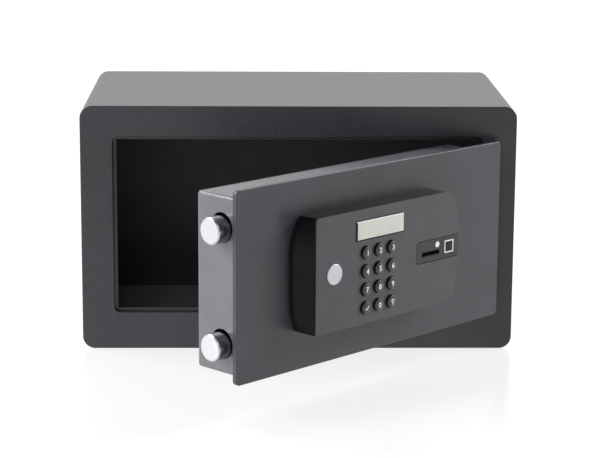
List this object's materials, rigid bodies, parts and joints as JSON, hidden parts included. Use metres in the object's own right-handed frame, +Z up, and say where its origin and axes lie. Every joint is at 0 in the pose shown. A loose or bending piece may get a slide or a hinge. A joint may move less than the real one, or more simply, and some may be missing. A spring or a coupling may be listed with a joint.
{
  "type": "electronic room safe",
  "caption": "Compact steel room safe with a side-hinged door, two sliding bolts and a raised keypad console with a display and a side reader panel.",
  "frame": {"origin": "centre of the casing's base", "axes": "+X to the casing's right (hinge side) seen from the front, +Y to the back, +Z up"},
  "size_m": [0.35, 0.4145, 0.2],
  "materials": {
    "charcoal_casing": "fine-textured powder coat",
    "charcoal_door": "fine-textured powder coat",
    "grey_box": "fine-textured powder coat",
    "console_grey": "satin paint",
    "panel_grey": "satin paint",
    "zinc": "zinc plated",
    "chrome": "polished",
    "badge": "satin",
    "carpet": "short pile",
    "rubber": "matt",
    "cable": "matt",
    "black_plastic": "fine grained",
    "gloss_black": "glossy",
    "key_grey": "satin",
    "white_plastic": "satin",
    "red_plastic": "glossy",
    "lcd": "clear lens over a pale display",
    "board": "solder resist",
    "cells": "printed sleeve"
  },
  "bodies": {
    "casing": {"casing_wrap": "charcoal_casing", "front_frame": "charcoal_casing", "back_panel": "charcoal_casing", "door_stop": "charcoal_casing", "floor_mat": "carpet", "hinge_bracket_upper": "charcoal_casing", "hinge_bracket_lower": "charcoal_casing", "hinge_pin_upper": "zinc", "hinge_pin_lower": "zinc"},
    "door": {"door_plate": "charcoal_door", "box_wrap": "grey_box", "box_top": "grey_box", "box_bottom": "grey_box", "box_screws": "zinc", "hinge_arm_upper": "charcoal_casing", "hinge_arm_lower": "charcoal_casing", "arm_screws": "zinc", "bolt_guide_upper": "zinc", "bolt_guide_lower": "zinc", "gear_bracket": "zinc", "gearbox": "black_plastic", "motor": "zinc", "main_board": "board", "harness": "cable", "grommet": "rubber", "battery_holder": "black_plastic", "battery_cells": "cells", "battery_rails": "black_plastic", "reset_switch": "black_plastic", "console_body": "gloss_black", "console_face": "console_grey", "lcd_lens": "lcd", "lcd_module": "black_plastic", "badge_disc": "badge", "reader_panel": "panel_grey", "reader_frame": "white_plastic", "reader_window": "gloss_black", "status_light": "white_plastic", "service_port": "black_plastic", "key_mat": "rubber", "keypad_board": "board"},
    "bolts": {"bolt_upper": "chrome", "bolt_lower": "chrome", "bolt_carriage": "zinc"},
    "pinion": {"bolt_pinion": "zinc"},
    "battery_lid": {"battery_lid": "black_plastic"},
    "reset_button": {"reset_button": "red_plastic"},
    "key_1": {"key_1": "key_grey"},
    "key_2": {"key_2": "key_grey"},
    "key_3": {"key_3": "key_grey"},
    "key_4": {"key_4": "key_grey"},
    "key_5": {"key_5": "key_grey"},
    "key_6": {"key_6": "key_grey"},
    "key_7": {"key_7": "key_grey"},
    "key_8": {"key_8": "key_grey"},
    "key_9": {"key_9": "key_grey"},
    "key_0": {"key_0": "key_grey"},
    "key_enter": {"key_enter": "key_grey"},
    "key_lock": {"key_lock": "key_grey"}
  },
  "joints": [
    {"name": "door_swing", "type": "hinge", "parent": "casing", "child": "door", "pos_m": [0.1659, -0.0859, 0.103], "axis": [0, 0, 1], "range_deg": [-44.3, 55.7]},
    {"name": "bolt_throw", "type": "slide", "parent": "door", "child": "bolts", "axis": [0.7157, 0.6984, 0], "range_m": [0, 0.012]},
    {"name": "pinion_turn", "type": "hinge", "parent": "door", "child": "pinion", "pos_m": [0.00852, -0.23375, 0.1082], "axis": [0.6984, -0.7157, 0], "range_deg": [-1, 62]},
    {"name": "battery_lid_slide", "type": "slide", "parent": "door", "child": "battery_lid", "axis": [-0.7157, -0.6984, 0], "range_m": [0, 0.054]},
    {"name": "reset_press", "type": "slide", "parent": "door", "child": "reset_button", "axis": [0.6984, -0.7157, 0], "range_m": [0, 0.001], "stiffness_N_per_m": 600},
    {"name": "key_1_press", "type": "slide", "parent": "door", "child": "key_1", "axis": [-0.6984, 0.7157, 0], "range_m": [0, 0.001], "stiffness_N_per_m": 800},
    {"name": "key_2_press", "type": "slide", "parent": "door", "child": "key_2", "axis": [-0.6984, 0.7157, 0], "range_m": [0, 0.001], "stiffness_N_per_m": 800},
    {"name": "key_3_press", "type": "slide", "parent": "door", "child": "key_3", "axis": [-0.6984, 0.7157, 0], "range_m": [0, 0.001], "stiffness_N_per_m": 800},
    {"name": "key_4_press", "type": "slide", "parent": "door", "child": "key_4", "axis": [-0.6984, 0.7157, 0], "range_m": [0, 0.001], "stiffness_N_per_m": 800},
    {"name": "key_5_press", "type": "slide", "parent": "door", "child": "key_5", "axis": [-0.6984, 0.7157, 0], "range_m": [0, 0.001], "stiffness_N_per_m": 800},
    {"name": "key_6_press", "type": "slide", "parent": "door", "child": "key_6", "axis": [-0.6984, 0.7157, 0], "range_m": [0, 0.001], "stiffness_N_per_m": 800},
    {"name": "key_7_press", "type": "slide", "parent": "door", "child": "key_7", "axis": [-0.6984, 0.7157, 0], "range_m": [0, 0.001], "stiffness_N_per_m": 800},
    {"name": "key_8_press", "type": "slide", "parent": "door", "child": "key_8", "axis": [-0.6984, 0.7157, 0], "range_m": [0, 0.001], "stiffness_N_per_m": 800},
    {"name": "key_9_press", "type": "slide", "parent": "door", "child": "key_9", "axis": [-0.6984, 0.7157, 0], "range_m": [0, 0.001], "stiffness_N_per_m": 800},
    {"name": "key_0_press", "type": "slide", "parent": "door", "child": "key_0", "axis": [-0.6984, 0.7157, 0], "range_m": [0, 0.001], "stiffness_N_per_m": 800},
    {"name": "key_enter_press", "type": "slide", "parent": "door", "child": "key_enter", "axis": [-0.6984, 0.7157, 0], "range_m": [0, 0.001], "stiffness_N_per_m": 800},
    {"name": "key_lock_press", "type": "slide", "parent": "door", "child": "key_lock", "axis": [-0.6984, 0.7157, 0], "range_m": [0, 0.001], "stiffness_N_per_m": 800}
  ],
  "couplings": [
    {"joint": "pinion_turn", "follows": "bolt_throw", "rad_per_m": 88.889}
  ]
}
